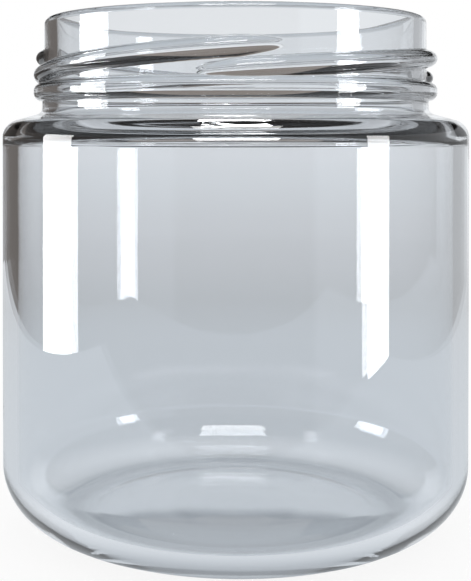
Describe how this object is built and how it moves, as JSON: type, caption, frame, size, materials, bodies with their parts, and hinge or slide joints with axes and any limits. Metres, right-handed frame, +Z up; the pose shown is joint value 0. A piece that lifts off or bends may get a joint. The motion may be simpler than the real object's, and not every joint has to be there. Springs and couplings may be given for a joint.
{
  "type": "glass jar",
  "caption": "Small empty wide-mouth preserving jar of clear glass, with a lug finish for a twist-off cap, a rounded shoulder and a large rounded heel.",
  "frame": {"origin": "middle of the base, on the surface that the jar stands on", "axes": "+Z up along the jar's axis, -Y towards the front, +X to the right as seen from the front"},
  "size_m": [0.061, 0.061, 0.0661],
  "materials": {
    "clear_glass": "clear colourless soda-lime glass, fire-polished smooth"
  },
  "bodies": {
    "root": {"jar": "clear_glass"}
  },
  "joints": []
}
